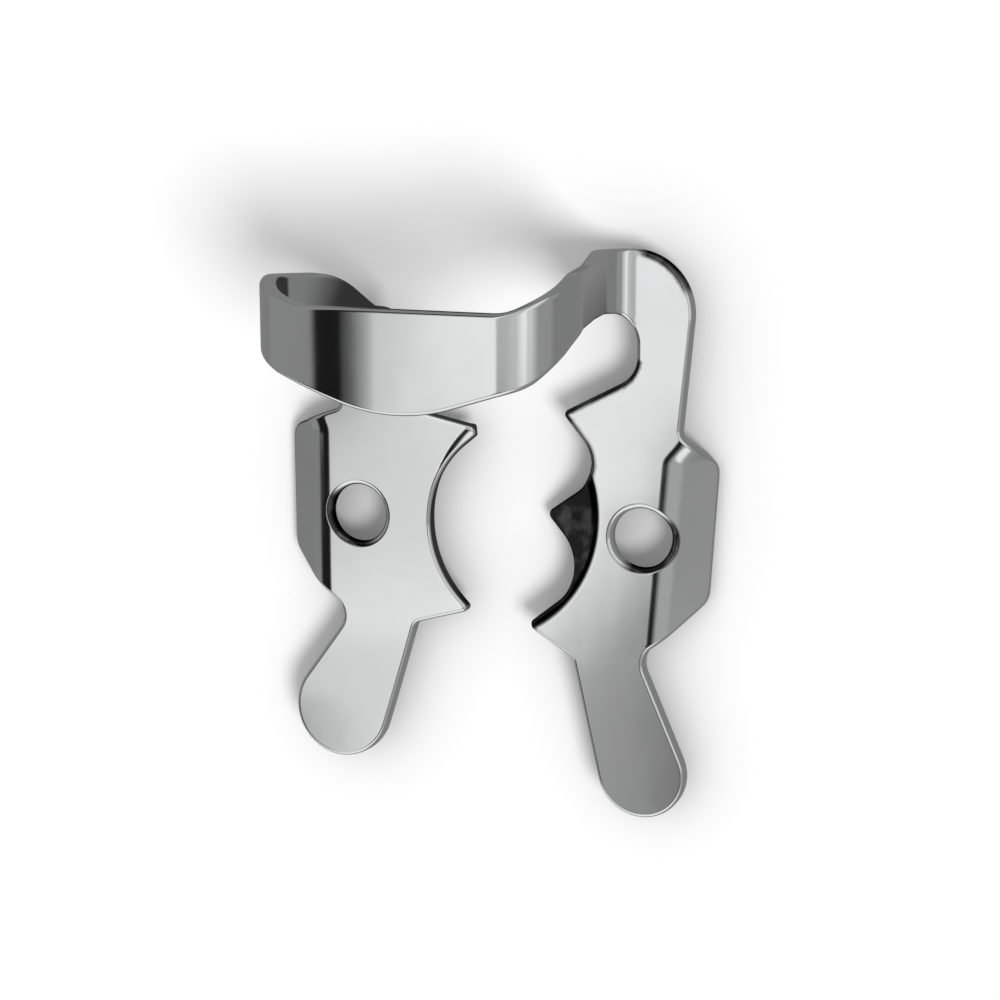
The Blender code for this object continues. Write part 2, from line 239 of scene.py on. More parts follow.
# What the steel reflects: angles across the studio in degrees, from straight up towards +X,
# as start, end and brightness of each panel
STUDIO_HALF_TURN = 180.0
BACK_PANELS = (
    (-180, -110, 0.24),
    (-100, -47, 0.29),
    (-44, -30.5, 0.01),
    (-28.3, -28.2, 0.12),
    (-26.5, -26.4, 0.34),
    (-24.8, -24.7, 0.52),
    (-24.1, -24.0, 0.74),
    (-23.4, -15, 1.0),
    (-12, 6, 0.55),
    (14, 20, 0.62),
    (32, 37.6, 1.0),
    (39.3, 46, 0.72),
    (58, 80, 0.34),
    (90, 180, 0.24),
)
FRONT_PANELS = (
    (-180, -110, 0.24),
    (-86, -62, 0.25),
    (-54, -28.5, 0.01),
    (-26.3, -21.8, 0.83),
    (-20.5, -16.8, 1.03),
    (-15, -5, 0.01),
    (8, 36, 0.47),
    (49, 60, 0.345),
    (90, 180, 0.26),
)
END_PANELS = (
    (-180, -110, 0.24),
    (-86, -62, 0.25),
    (-54, -28.5, 0.01),
    (-26, -16.8, 0.38),
    (-15, -5, 0.01),
    (8, 36, 0.44),
    (49, 60, 0.34),
    (90, 180, 0.26),
)
BACK_PANELS_START = (-0.175, -0.16)
SOFTBOX_SKEW = 0.95
SOFTBOX_END = (0.038, 0.08)
SOFTBOX_GAIN = (-0.22, -0.245, 1.0, 1.2)
FRONT_WALL_START = (-0.45, -0.55)
FRONT_WALL_END = (0.45, 0.7)

# The floor in reflections glows with painted tones: a painted shade, dark, where the clamp's own shade
# falls, and grey around it
FLOOR_SHADE_CENTRE = (-0.003, 0.0055, 0.0)
FLOOR_SHADE_REACH = (0.0095, 0.0125)
FLOOR_NEAR_TONE = 0.04
FLOOR_FAR_TONE = 0.25

# Painted shade: the floor's colour is darker right under and beside the steel, by ambient occlusion
FLOOR_CLOSE_REACH = 0.0045
FLOOR_CLOSE_TONE = 0.32
FLOOR_ROUGHNESS = 0.9
FLOOR_RADIUS = 0.6
FLOOR_SIDES = 96

# The soft lamp stands to the serrated side; the camera looks from there too, and from the bow
LAMP_WAY = (9.5, -3.4, 13.0)
LAMP_SPREAD_DEG = 22.0
CAMERA_WAY = (0.35, 0.2, 0.91515)
CAMERA_DISTANCE = 0.11
CAMERA_TARGET = (0.0006, 0.00154, 0.00207)
CAMERA_LENS = 79.2
CAMERA_SENSOR = 36.0
CAMERA_CLIP = 0.001


# Properties

class ClampSizes(bpy.types.PropertyGroup):
    sheet_thickness: FloatProperty(
        name="Sheet thickness",
        description="Thickness of the spring steel sheet",
        default=0.0008,
        min=0.0003,
        precision=5,
        unit="LENGTH",
    )
    rim_round: FloatProperty(
        name="Rim rounding",
        description="Radius of the tumbled outer edges",
        default=0.0002,
        min=0.00002,
        precision=5,
        unit="LENGTH",
    )
    hole_diameter: FloatProperty(
        name="Forceps hole",
        description="Diameter of the two holes for the forceps tips",
        default=0.003,
        min=0.001,
        precision=5,
        unit="LENGTH",
    )
    hole_round: FloatProperty(
        name="Hole rounding",
        description="Radius of the holes' rolled edges",
        default=0.0003,
        min=0.00005,
        precision=5,
        unit="LENGTH",
    )
    mesh_step: FloatProperty(
        name="Mesh step",
        description="Distance between mesh points on the sheet",
        default=0.00021,
        min=0.0001,
        precision=5,
        unit="LENGTH",
    )


class SteelLook(bpy.types.PropertyGroup):
    colour: FloatVectorProperty(
        name="Steel colour",
        description="Reflected colour of the polished steel",
        default=(0.76, 0.765, 0.77),
        size=3,
        subtype="COLOR",
        min=0.0,
        max=1.0,
    )
    roughness: FloatProperty(
        name="Polish roughness",
        description="Roughness of the cleanest stretches of the polish",
        default=0.07,
        subtype="FACTOR",
        min=0.0,
        max=1.0,
    )
    polish_marks: FloatProperty(
        name="Polishing marks",
        description="Depth of the fine waves that polishing leaves",
        default=0.02,
        subtype="FACTOR",
        min=0.0,
        max=1.0,
    )


class StageLook(bpy.types.PropertyGroup):
    floor_colour: FloatVectorProperty(
        name="Floor colour",
        description="Colour of the plain floor",
        default=(0.8, 0.8, 0.8),
        size=3,
        subtype="COLOR",
        min=0.0,
        max=1.0,
    )
    key_strength: FloatProperty(
        name="Key lamp",
        description="Strength of the soft key lamp",
        default=2.5,
        min=0.0,
    )
    floor_lift: FloatProperty(
        name="Floor lift",
        description="How much the floor is lifted towards white for the camera alone",
        default=0.12,
        min=0.0,
        max=1.0,
    )
    sky_strength: FloatProperty(
        name="Room light",
        description="Strength of the light that comes from all around",
        default=0.5,
        min=0.0,
    )


# Forming rule: from the flat blank to the pressed clamp, in millimetres

def leg_turn(jaw):
    """Turn of the sheet from the bow's flat top to its leg, which leans in."""
    return pi / 2 + radians(jaw["leg_lean_deg"])


def leg_length(jaw):
    """Straight length of a leg, so that its foot comes down to the level of the plates."""
    ease = radians(jaw["ease_deg"])
    crown = ease + radians(jaw["crown_deg"])
    turn = leg_turn(jaw)
    bends = EASE_RADIUS * (1 - cos(ease)) + CROWN_RADIUS * (cos(ease) - cos(crown))
    bends += jaw["shoulder_radius"] * (cos(crown) - cos(turn)) + FOOT_RADIUS * (1 - cos(turn))
    return (BOW_RISE - bends) / sin(turn)


def bow_segments(jaw):
    """Length and turn of each stretch of half the bow, from its middle to the foot."""
    ease = radians(jaw["ease_deg"])
    crown = radians(jaw["crown_deg"])
    turn = leg_turn(jaw)
    shoulder = turn - crown - ease
    return [
        (jaw["flat_half"], 0.0),
        (EASE_RADIUS * ease, ease),
        (CROWN_RADIUS * crown, crown),
        (jaw["shoulder_radius"] * shoulder, shoulder),
        (leg_length(jaw), 0.0),
        (FOOT_RADIUS * turn, -turn),
    ]


def foot_end(jaw):
    """Distance along the blank from the middle of the bow to where the foot lies flat."""
    return sum(length for length, _ in bow_segments(jaw))


def bow_section(jaw, along, thickness):
    """Outward places and heights on the bow at distances from its middle, and past its foot."""
    out = np.zeros_like(along)
    up = np.full_like(along, jaw_height(thickness) + BOW_RISE)
    heading = 0.0
    left = along
    for length, turn in bow_segments(jaw):
        run = np.minimum(left, length)
        if turn:
            radius = length / turn
            ahead = heading + run / radius
            out = out + radius * (np.sin(ahead) - sin(heading))
            up = up - radius * (cos(heading) - np.cos(ahead))
            heading += turn
        else:
            out = out + run * cos(heading)
            up = up - run * sin(heading)
        left = left - run
    return out + left, up


def blank_offset(jaw):
    """Distance that the bow takes up on the blank between the middle and a jaw's own zero."""
    end = foot_end(jaw)
    foot_out = bow_section(jaw, np.array([end]), 0.0)[0][0]
    return end - foot_out - jaw["side"] * BOW_SHIFT


def smooth_step(value):
    value = np.clip(value, 0.0, 1.0)
    return value * value * (3 - 2 * value)


def fade_in(value, start, end):
    """0 up to the start, 1 from the end, and a smooth change between."""
    return smooth_step((value - start) / (end - start))


def wing_angle(jaw, distal):
    """How far the wing is folded down, which may change a little along it."""
    return np.radians(jaw["wing_angle_deg"] + jaw["wing_twist_deg"] * distal)


def fold_line(jaw, distal):
    """Outward place of the wing's fold, which flares out at the wing's distal corner."""
    flare = smooth_step((distal - jaw["wing_top"] + FOLD_FLARE_SPAN) / FOLD_FLARE_SPAN)
    return jaw["fold_out"] + jaw["fold_skew"] * distal + jaw["fold_flare"] * flare


def fold_width(jaw):
    """Width on the blank that the wing's fold takes up."""
    return jaw["fold_radius"] * wing_angle(jaw, 0.0)


def wing_bend(jaw, out, distal):
    """Shift across, shift along and drop of the sheet beyond the wing's fold line."""
    scale = 1 / hypot(1, jaw["fold_skew"])
    past = np.maximum((out - fold_line(jaw, distal)) * scale, 0)
    fade = smooth_step((distal - jaw["wing_top"] + WING_FADE / 2) / WING_FADE)
    fade = fade + smooth_step((jaw["neck_distal"] + WING_FADE / 2 - distal) / WING_FADE)
    angle = wing_angle(jaw, distal) * (1 - fade)
    radius = jaw["fold_radius"]
    turned = np.minimum(past / radius, angle)
    straight = past - turned * radius
    shift = (radius * np.sin(turned) + straight * np.cos(turned) - past) * scale
    drop = radius * (1 - np.cos(turned)) + straight * np.sin(turned)
    return shift, -shift * jaw["fold_skew"], drop


def lip_width(jaw):
    """Width on the blank of the bend where the lip starts."""
    return jaw["lip_bend"] * sin(radians(jaw["lip_angle"]))


def lip_drop(jaw, out, distal):
    """Drop of the jaw's lip, which follows a circle around the tooth."""
    away = np.hypot(out + jaw["lip_centre_in"], distal - jaw["lip_centre_distal"])
    past = np.maximum(jaw["lip_radius"] - away, 0)
    bend, run = jaw["lip_bend"], lip_width(jaw)
    curved = bend - np.sqrt(bend * bend - np.minimum(past, run) ** 2)
    return curved + np.maximum(past - run, 0) * tan(radians(jaw["lip_angle"]))


def jaw_height(thickness):
    """Height of the level plates' middle, with the lowest wing edge on the table."""
    depths = []
    for jaw in (SERRATED, SMOOTH):
        corners = ((jaw["wing_out"], jaw["wing_shoulder"]), (jaw["wing_foot_out"], jaw["wing_foot"]))
        for out, distal in corners:
            lower_edge = thickness / 2 * cos(wing_angle(jaw, distal))
            depths.append(wing_bend(jaw, out, distal)[2] + lower_edge)
    return max(depths)


def plate_height(jaw, out, distal, thickness):
    """Height of the sheet's middle on a plate: level, with its lip turned down, and a curled tab."""
    start = jaw["neck_mesial"]
    curl = np.maximum((start - distal) / (start - jaw["tab_mesial"] + jaw["tab_radius"]), 0)
    return jaw_height(thickness) - lip_drop(jaw, out, distal) + jaw["tab_curl"] * curl * curl


def pressed_middle(blank, thickness):
    """Pressed places of blank points; across is signed, from the middle of the bow."""
    across, distal = blank[:, 0], blank[:, 1]
    places = np.zeros((len(blank), 3))
    for jaw in (SERRATED, SMOOTH):
        mine = (across >= 0) if jaw["side"] > 0 else (across < 0)
        along, along_y = np.abs(across[mine]), distal[mine]
        bow_out, bow_up = bow_section(jaw, along, thickness)
        out = along - blank_offset(jaw)
        shift_out, shift_distal, drop = wing_bend(jaw, out, along_y)
        up = plate_height(jaw, out, along_y, thickness) - drop
        inner_prong = min(point[0] for point in jaw["prongs"]) + blank_offset(jaw)
        clear_of_plate = (along_y > jaw["notch_distal"]) | (along < inner_prong - 2 * thickness)
        bow = (along < foot_end(jaw)) & clear_of_plate
        places[mine, 0] = jaw["side"] * np.where(
            bow, bow_out + jaw["side"] * BOW_SHIFT, out + shift_out)
        places[mine, 1] = along_y + np.where(bow, 0, shift_distal)
        places[mine, 2] = np.where(bow, bow_up, up)
    return places


def unit(vectors):
    return vectors / np.maximum(np.linalg.norm(vectors, axis=1), 1e-12)[:, None]


def press(blank, heights, facings, thickness):
    """Pressed places and normals of points at heights above the blank's middle."""
    probe = 0.01
    step_x, step_y = np.array([probe, 0.0]), np.array([0.0, probe])
    along_x = pressed_middle(blank + step_x, thickness) - pressed_middle(blank - step_x, thickness)
    along_y = pressed_middle(blank + step_y, thickness) - pressed_middle(blank - step_y, thickness)
    upward = unit(np.cross(along_x, along_y))
    places = pressed_middle(blank, thickness) + upward * heights[:, None]
    rim_way = along_y * facings[:, :1] - along_x * facings[:, 1:2]
    outward = unit(np.cross(rim_way, upward))
    level_share = np.hypot(facings[:, 0], facings[:, 1])[:, None]
    return places, unit(outward * level_share + upward * facings[:, 2:])


# Flat blank

def fillet_reach(corners, index):
    """How far from a corner its rounding starts."""
    if index in (0, len(corners) - 1):
        return 0.0
    here = Vector(corners[index][:2])
    back = Vector(corners[index - 1][:2]) - here
    ahead = Vector(corners[index + 1][:2]) - here
    return corners[index][2] / tan(back.angle(ahead) / 2)


def rounded_chain(corners, edge_step):
    """Points along a chain of corners (x, y, radius), straight runs and arcs."""
    reaches = [fillet_reach(corners, index) for index in range(len(corners))]
    points = [Vector(corners[0][:2])]
    for index in range(1, len(corners) - 1):
        here = Vector(corners[index][:2])
        back = Vector(corners[index - 1][:2]) - here
        ahead = Vector(corners[index + 1][:2]) - here
        half = back.angle(ahead) / 2
        room_back = back.length / max(reaches[index] + reaches[index - 1], back.length)
        room_ahead = ahead.length / max(reaches[index] + reaches[index + 1], ahead.length)
        reach = reaches[index] * min(room_back, room_ahead)
        radius = reach * tan(half)
        centre = here + (back.normalized() + ahead.normalized()).normalized() * radius / sin(half)
        first = here + back.normalized() * reach - centre
        turn = first.angle_signed(here + ahead.normalized() * reach - centre)
        steps = max(2, ceil(abs(turn) / radians(ARC_STEP_DEG)), ceil(abs(turn) * radius / edge_step))
        start = np.arctan2(first.y, first.x)
        for step in range(steps + 1):
            angle = start - turn * step / steps
            points.append(centre + Vector((cos(angle), sin(angle))) * radius)
    points.append(Vector(corners[-1][:2]))
    return filled_runs(points, edge_step)


def filled_runs(points, edge_step):
    """The same chain with its long straight runs divided, and without doubled points."""
    chain = [points[0]]
    for point in points[1:]:
        gap = point - chain[-1]
        if gap.length < DOUBLED_GAP:
            continue
        pieces = ceil(gap.length / (RUN_SHARE * edge_step))
        start = chain[-1].copy()
        chain.extend(start + gap * step / pieces for step in range(1, pieces + 1))
    return chain


def jaw_corners(jaw):
    """Prongs and the bites between them, from distal to mesial."""
    corners = []
    for index, prong in enumerate(jaw["prongs"]):
        corners.append((*prong, jaw["prong_rounds"][index]))
        if index < len(jaw["bites"]):
            corners.append(jaw["bites"][index])
    return corners


def tab_corners(jaw):
    """The two far corners of a tab, rounded so much that its end is a half circle."""
    middle_of_neck = (jaw["neck_out"] + jaw["neck_in"]) / 2
    lean = jaw["tab_out"] - middle_of_neck
    depth = jaw["neck_mesial"] - jaw["tab_mesial"]
    axis = Vector((lean, -depth)).normalized()
    aside = Vector((-axis.y, axis.x))
    end = Vector((jaw["tab_out"], jaw["tab_mesial"])) + axis * jaw["tab_radius"]
    outer = end + aside * jaw["tab_radius"]
    inner = end - aside * jaw["tab_radius"]
    return [(*outer, jaw["tab_radius"]), (*inner, jaw["tab_radius"])]


def side_chain(jaw):
    """Corners of half the blank, from the bow's distal edge round to its mesial edge."""
    offset = blank_offset(jaw)
    leg_end = foot_end(jaw) - FOOT_RADIUS * leg_turn(jaw)
    bow = [
        (0.0, CREST_DISTAL, 0.0),
        (FLARE_START, CREST_DISTAL, FLARE_ROUND),
        (FLARE_END, jaw["leg_distal"], FLARE_ROUND),
        (KNEE_OUT, jaw["knee_distal"], KNEE_ROUND),
        (leg_end, jaw["foot_distal"], FLARE_ROUND),
    ]
    plate = [
        (jaw["heel_out"], jaw["foot_distal"], jaw["heel_round"]),
        (jaw["arm_out"], jaw["wing_top"], jaw["wing_round"] / 2),
        (jaw["wing_out"], jaw["wing_shoulder"], jaw["wing_round"]),
        (jaw["wing_foot_out"], jaw["wing_foot"], jaw["wing_round"]),
        (jaw["neck_out"], jaw["neck_distal"], jaw["wing_round"]),
        *tab_corners(jaw),
        (jaw["neck_in"], jaw["neck_mesial"], jaw["wing_round"] / 2),
        *reversed(jaw_corners(jaw)),
        (jaw["notch_out"], jaw["notch_mesial"], jaw["notch_round"]),
        (jaw["notch_out"], jaw["foot_mesial"], jaw["notch_round"]),
    ]
    back = [
        (KNEE_OUT, jaw["knee_mesial"], KNEE_ROUND),
        (FLARE_END, jaw["leg_mesial"], FLARE_ROUND),
        (THROAT_OUT, THROAT_MESIAL, FLARE_ROUND),
        (0.0, CREST_MESIAL, 0.0),
    ]
    return bow + [(x + offset, y, r) for x, y, r in plate] + back


def blank_outline(edge_step):
    """Closed outline of the whole blank, clockwise seen from above."""
    right = side_chain(SERRATED)
    left = [(-x, y, r) for x, y, r in reversed(side_chain(SMOOTH))]
    ring = right[:-1] + [(0.0, CREST_MESIAL, CREST_ROUND)] + left[1:-1]
    middle_of_crest = (0.0, CREST_DISTAL, 0.0)
    return rounded_chain([middle_of_crest] + ring[1:] + [middle_of_crest], edge_step)[:-1]


def hole_outline(jaw, diameter, edge_step):
    """Anticlockwise, so that the sheet lies on its right as it does for the outline."""
    x, y = jaw["side"] * (jaw["hole_out"] + blank_offset(jaw)), jaw["hole_distal"]
    sides = ceil(pi * diameter / edge_step)
    angles = [2 * pi * step / sides for step in range(sides)]
    return [Vector((x + cos(a) * diameter / 2, y + sin(a) * diameter / 2)) for a in angles]


def rim_facings(ring):
    """Unit vectors that point out of the sheet, which lies on the right of the ring."""
    ahead = np.roll(ring, -1, axis=0) - ring
    behind = ring - np.roll(ring, 1, axis=0)
    way = unit(ahead) + unit(behind)
    return unit(np.stack((-way[:, 1], way[:, 0]), axis=1))


def in_sheet(points, rings):
    """Which points lie on the sheet, between its outline and its holes."""
    crossings = np.zeros(len(points), dtype=int)
    x, y = points[:, 0], points[:, 1]
    for ring in rings:
        for start, end in zip(ring, np.roll(ring, -1, axis=0)):
            if start[1] != end[1]:
                cut = start[0] + (y - start[1]) / (end[1] - start[1]) * (end[0] - start[0])
                crossings += ((start[1] > y) != (end[1] > y)) & (x < cut)
    return crossings % 2 == 1


def on_jaw(jaw, points):
    """How far outward on a jaw points lie, and which of them are on its side at all."""
    return jaw["side"] * points[:, 0] - blank_offset(jaw), points[:, 0] * jaw["side"] > 0


def past_fold(jaw, points):
    """How far points lie past the wing's fold, and which of them lie beside the wing at all."""
    out, mine = on_jaw(jaw, points)
    distal = points[:, 1]
    beside = (distal > jaw["neck_distal"] - BEND_RUN_OUT) & (distal < jaw["wing_top"] + BEND_RUN_OUT)
    return out - fold_line(jaw, distal), beside & mine


def past_lip(jaw, points, reach=0.0):
    """How far points lie past the line where the jaw's lip starts."""
    out, mine = on_jaw(jaw, points)
    away = np.hypot(out + jaw["lip_centre_in"], points[:, 1] - jaw["lip_centre_distal"])
    return np.where(mine, jaw["lip_radius"] + reach - away, -1.0)


def bend_points(jaw, step):
    """Closely spaced points in lines along the wing's fold and around the lip's bend."""
    near, far, along = -step / 2, step / 2, step * BEND_POINT_SHARE
    rows = np.arange(jaw["neck_distal"] - BEND_RUN_OUT, jaw["wing_top"] + BEND_RUN_OUT, along)
    columns = np.arange(near, fold_width(jaw) + far, step / BEND_LINES)
    past, distal = (values.ravel() for values in np.meshgrid(columns, rows))
    fold = np.column_stack((fold_line(jaw, distal) + past, distal))
    turns = np.arange(-LIP_HALF_TURN, LIP_HALF_TURN, along / jaw["lip_radius"])
    rings = jaw["lip_radius"] - np.arange(near, lip_width(jaw) + far, step / BEND_LINES)
    away, turn = (values.ravel() for values in np.meshgrid(rings, turns))
    lip = np.column_stack((away * np.cos(turn) - jaw["lip_centre_in"],
                           away * np.sin(turn) + jaw["lip_centre_distal"]))
    points = np.concatenate((fold, lip))
    points[:, 0] = jaw["side"] * (points[:, 0] + blank_offset(jaw))
    return points


def edge_distances(points, edge):
    """How far points lie from the nearest of the edge's points."""
    near = KDTree(len(edge))
    for index, point in enumerate(edge):
        near.insert((*point, 0.0), index)
    near.balance()
    return np.array([near.find((*point, 0.0))[2] for point in points])


def inner_points(rings, step):
    """Even rows of points on the sheet, and finer lines of points in its bends."""
    low, high = rings[0].min(axis=0), rings[0].max(axis=0)
    rows = np.arange(low[1], high[1], step * ROW_SHARE)
    columns = np.arange(low[0], high[0], step)
    grid = np.array([(x + (index % 2) * step / 2, y) for index, y in enumerate(rows) for x in columns])
    lines = []
    for jaw in (SERRATED, SMOOTH):
        past, beside = past_fold(jaw, grid)
        grid = grid[~(beside & (past > -step) & (past < fold_width(jaw) + step))]
        past = past_lip(jaw, grid)
        at_lip = (past > -step) & (past < lip_width(jaw) + step)
        grid = grid[~(at_lip & (grid[:, 1] < jaw["wing_top"] + BEND_RUN_OUT))]
        lines.append(bend_points(jaw, step))
    lines.append(rings[0] - rim_facings(rings[0]) * step * RIM_LINE_SHARE)
    points = np.concatenate([grid, *lines])
    clearances = np.full(len(points), BEND_CLEARANCE * step)
    clearances[:len(grid)] = GRID_CLEARANCE * step
    clear = edge_distances(points, np.concatenate(rings)) > clearances
    return points[clear & in_sheet(points, rings)]


def painted_lip_reflection(jaw, points):
    """Painted dark reflection on the jaw's lip, where the jaw grips the tooth."""
    lip = smooth_step(past_lip(jaw, points, jaw["painted_lip_reach"]) / PAINTED_LIP_FADE)
    mesial = smooth_step((jaw["painted_lip_start"] - points[:, 1]) / jaw["painted_lip_run"])
    beside = smooth_step((jaw["wing_top"] + PAINTED_LIP_PAST_WING - points[:, 1]) / PAINTED_LIP_END_FADE)
    return jaw["painted_lip_strength"] * lip * mesial * beside


def painted_hole_shade(jaw, points):
    """Painted dark reflection of the shade under the plate, on one side of a forceps hole's edge."""
    out, mine = on_jaw(jaw, points)
    from_hole = np.column_stack((out - jaw["hole_out"], points[:, 1] - jaw["hole_distal"]))
    ring = smooth_step((PAINTED_HOLE_REACH - np.hypot(*from_hole.T)) / PAINTED_HOLE_FADE)
    return np.where(mine, ring * fade_in(unit(from_hole) @ PAINTED_HOLE_WAY, *PAINTED_HOLE_TURN), 0)


def painted_edge_reflection(points):
    """Painted dark reflection along the edges of the serrated side's distal bite, notch and knee."""
    out, distal = on_jaw(SERRATED, points)[0], points[:, 1]
    marks = np.zeros(len(points))
    for (near, far), (mesial_end, distal_end), strength in (PAINTED_BITE_DARK, PAINTED_NOTCH_DARK):
        marks[(out > near) & (out < far) & (distal > mesial_end) & (distal < distal_end)] = strength
    knee = SERRATED["heel_out"] - SERRATED["heel_round"], SERRATED["foot_distal"] - SERRATED["heel_round"]
    from_knee = np.column_stack((out, distal)) - knee
    turned = fade_in(unit(from_knee) @ PAINTED_KNEE_WAY, *PAINTED_KNEE_TURN)
    marks = np.maximum(marks, np.where((from_knee > 0).all(axis=1), turned, 0))
    marked = marks > 0
    depths = edge_distances(points[marked], blank_outline(PAINTED_EDGE_STEP))
    marks[marked] *= smooth_step((PAINTED_EDGE_WIDTH - depths) / PAINTED_EDGE_FADE)
    return marks


def painted_dark_reflections(points):
    """How strongly each point of the blank is darkened by painted reflections and shade, 0 to 1."""
    marks = painted_edge_reflection(points)
    for jaw in (SERRATED, SMOOTH):
        marks = np.maximum(marks, np.maximum(painted_lip_reflection(jaw, points), painted_hole_shade(jaw, points)))
    return marks


class FlatBlank:
    """Points, heights, facings and faces of the flat blank with its rounded rims."""

    def __init__(self):
        self.points = []
        self.heights = []
        self.facings = []
        self.faces = []
        self.count = 0

    def add(self, points, height, facings):
        first = self.count
        self.points.append(np.asarray(points, dtype=float))
        self.heights.append(np.full(len(points), float(height)))
        self.facings.append(facings)
        self.count += len(points)
        return np.arange(first, self.count)

    def bridge(self, upper, lower):
        for index in range(len(upper)):
            after = (index + 1) % len(upper)
            self.faces.append((upper[index], upper[after], lower[after], lower[index]))


def rim_profile(radius, half):
    """Inset, height and tilt of each ring of a rim, from the top face to the bottom face."""
    tilts = [pi / 2 * step / RIM_STEPS for step in range(RIM_STEPS + 1)]
    upper = [(radius * (1 - sin(tilt)), half - radius * (1 - cos(tilt)), tilt) for tilt in tilts]
    lower = [(inset, -height, pi - tilt) for inset, height, tilt in reversed(upper)]
    return upper + lower


def flat_blank(sizes):
    """The blank as it comes from the die, tumbled, before it is pressed."""
    edge_step = sizes.mesh_step / MM
    half = sizes.sheet_thickness / MM / 2
    diameter = sizes.hole_diameter / MM
    outline = np.array([tuple(point) for point in blank_outline(edge_step)])
    holes = [np.array([tuple(point) for point in hole_outline(jaw, diameter, edge_step / HOLE_STEPS)])
             for jaw in (SERRATED, SMOOTH)]
    rounds = [sizes.rim_round / MM, sizes.hole_round / MM, sizes.hole_round / MM]
    blank = FlatBlank()
    insets, tops, bottoms, ring_sets = [], [], [], []
    for ring, radius in zip([outline, *holes], rounds):
        facings = rim_facings(ring)
        rings = []
        for inset, height, tilt in rim_profile(radius, half):
            tilted = np.column_stack((facings * sin(tilt), np.full(len(ring), cos(tilt))))
            rings.append(blank.add(ring - facings * inset, height, tilted))
        for upper, lower in zip(rings, rings[1:]):
            blank.bridge(upper, lower)
        insets.append(ring - facings * radius)
        tops.append(rings[0])
        bottoms.append(rings[-1])
    inner = inner_points(insets, edge_step)
    up = np.tile((0.0, 0.0, 1.0), (len(inner), 1))
    tops.append(blank.add(inner, half, up))
    bottoms.append(blank.add(inner, -half, -up))

    edges, hole_sets, first = [], [], 0
    for ring in insets:
        count = len(ring)
        edges += [(first + index, first + (index + 1) % count) for index in range(count)]
        hole_sets.append(set(range(first, first + count)))
        first += count
    flat = [Vector(point) for point in np.concatenate([*insets, inner])]
    _, _, triangles, _, _, _ = delaunay_2d_cdt(flat, edges, [], 1, MERGE_GAP)
    top, bottom = np.concatenate(tops), np.concatenate(bottoms)
    for triangle in triangles:
        if not any(set(triangle) <= hole for hole in hole_sets[1:]):
            blank.faces.append(tuple(top[index] for index in triangle))
            blank.faces.append(tuple(bottom[index] for index in reversed(triangle)))
    return blank


def pressed_clamp(name, sizes):
    """The pressed sheet as one object, its middle over the origin and its lowest point at height 0."""
    blank = flat_blank(sizes)
    points = np.concatenate(blank.points)
    heights = np.concatenate(blank.heights)
    facings = np.concatenate(blank.facings)
    places, normals = press(points, heights, facings, sizes.sheet_thickness / MM)
    low, high = places.min(axis=0), places.max(axis=0)
    places -= ((low[0] + high[0]) / 2, (low[1] + high[1]) / 2, low[2])
    mesh = bpy.data.meshes.new(name)
    mesh.from_pydata((places * MM).tolist(), [], [tuple(map(int, face)) for face in blank.faces])
    mesh.update()
    clamp = bpy.data.objects.new(name, mesh)
    bpy.context.scene.collection.objects.link(clamp)
    mesh.shade_smooth()
    mesh.normals_split_custom_set_from_vertices(normals.tolist())
    # Painted dark reflections and shade, carried to the steel's colour as an attribute
    marks = mesh.attributes.new("painted_dark_reflections", "FLOAT", "POINT")
    marks.data.foreach_set("value", painted_dark_reflections(points))
    return clamp


# Materials

def feed(tree, socket, value):
    """Link another node's output to a socket, or give the socket a plain value."""
    if isinstance(value, bpy.types.NodeSocket):
        tree.links.new(value, socket)
    else:
        socket.default_value = value


def wire(tree, kind, values=(), operation=None):
    """A new node whose first sockets take the given values."""
    node = tree.nodes.new(kind)
    if operation:
        node.operation = operation
    for socket, value in zip(node.inputs, values):
        feed(tree, socket, value)
    return node


def reckoned(tree, operation, *values):
    """One sum of the given values or other nodes' outputs."""
    return wire(tree, "ShaderNodeMath", values, operation).outputs["Value"]


def mapped(tree, value, start, end, first=0.0, last=1.0):
    """First value up to the start, last value from the end, and an even change between."""
    return wire(tree, "ShaderNodeMapRange", (value, start, end, first, last)).outputs["Result"]


def grain(tree, place, scale, detail):
    """A fine random pattern fixed to the steel."""
    noise = wire(tree, "ShaderNodeTexNoise", (place,))
    noise.inputs["Scale"].default_value = scale
    noise.inputs["Detail"].default_value = detail
    return noise.outputs["Fac"]


def grey(value):
    return (value, value, value, 1.0)


def blend(tree, share, first, second):
    """The first colour at share 0 and the second at 1; sockets 6 and 7 are the node's colours."""
    node = tree.nodes.new("ShaderNodeMix")
    node.data_type = "RGBA"
    for index, value in ((0, share), (6, first), (7, second)):
        feed(tree, node.inputs[index], value)
    return node.outputs[2]


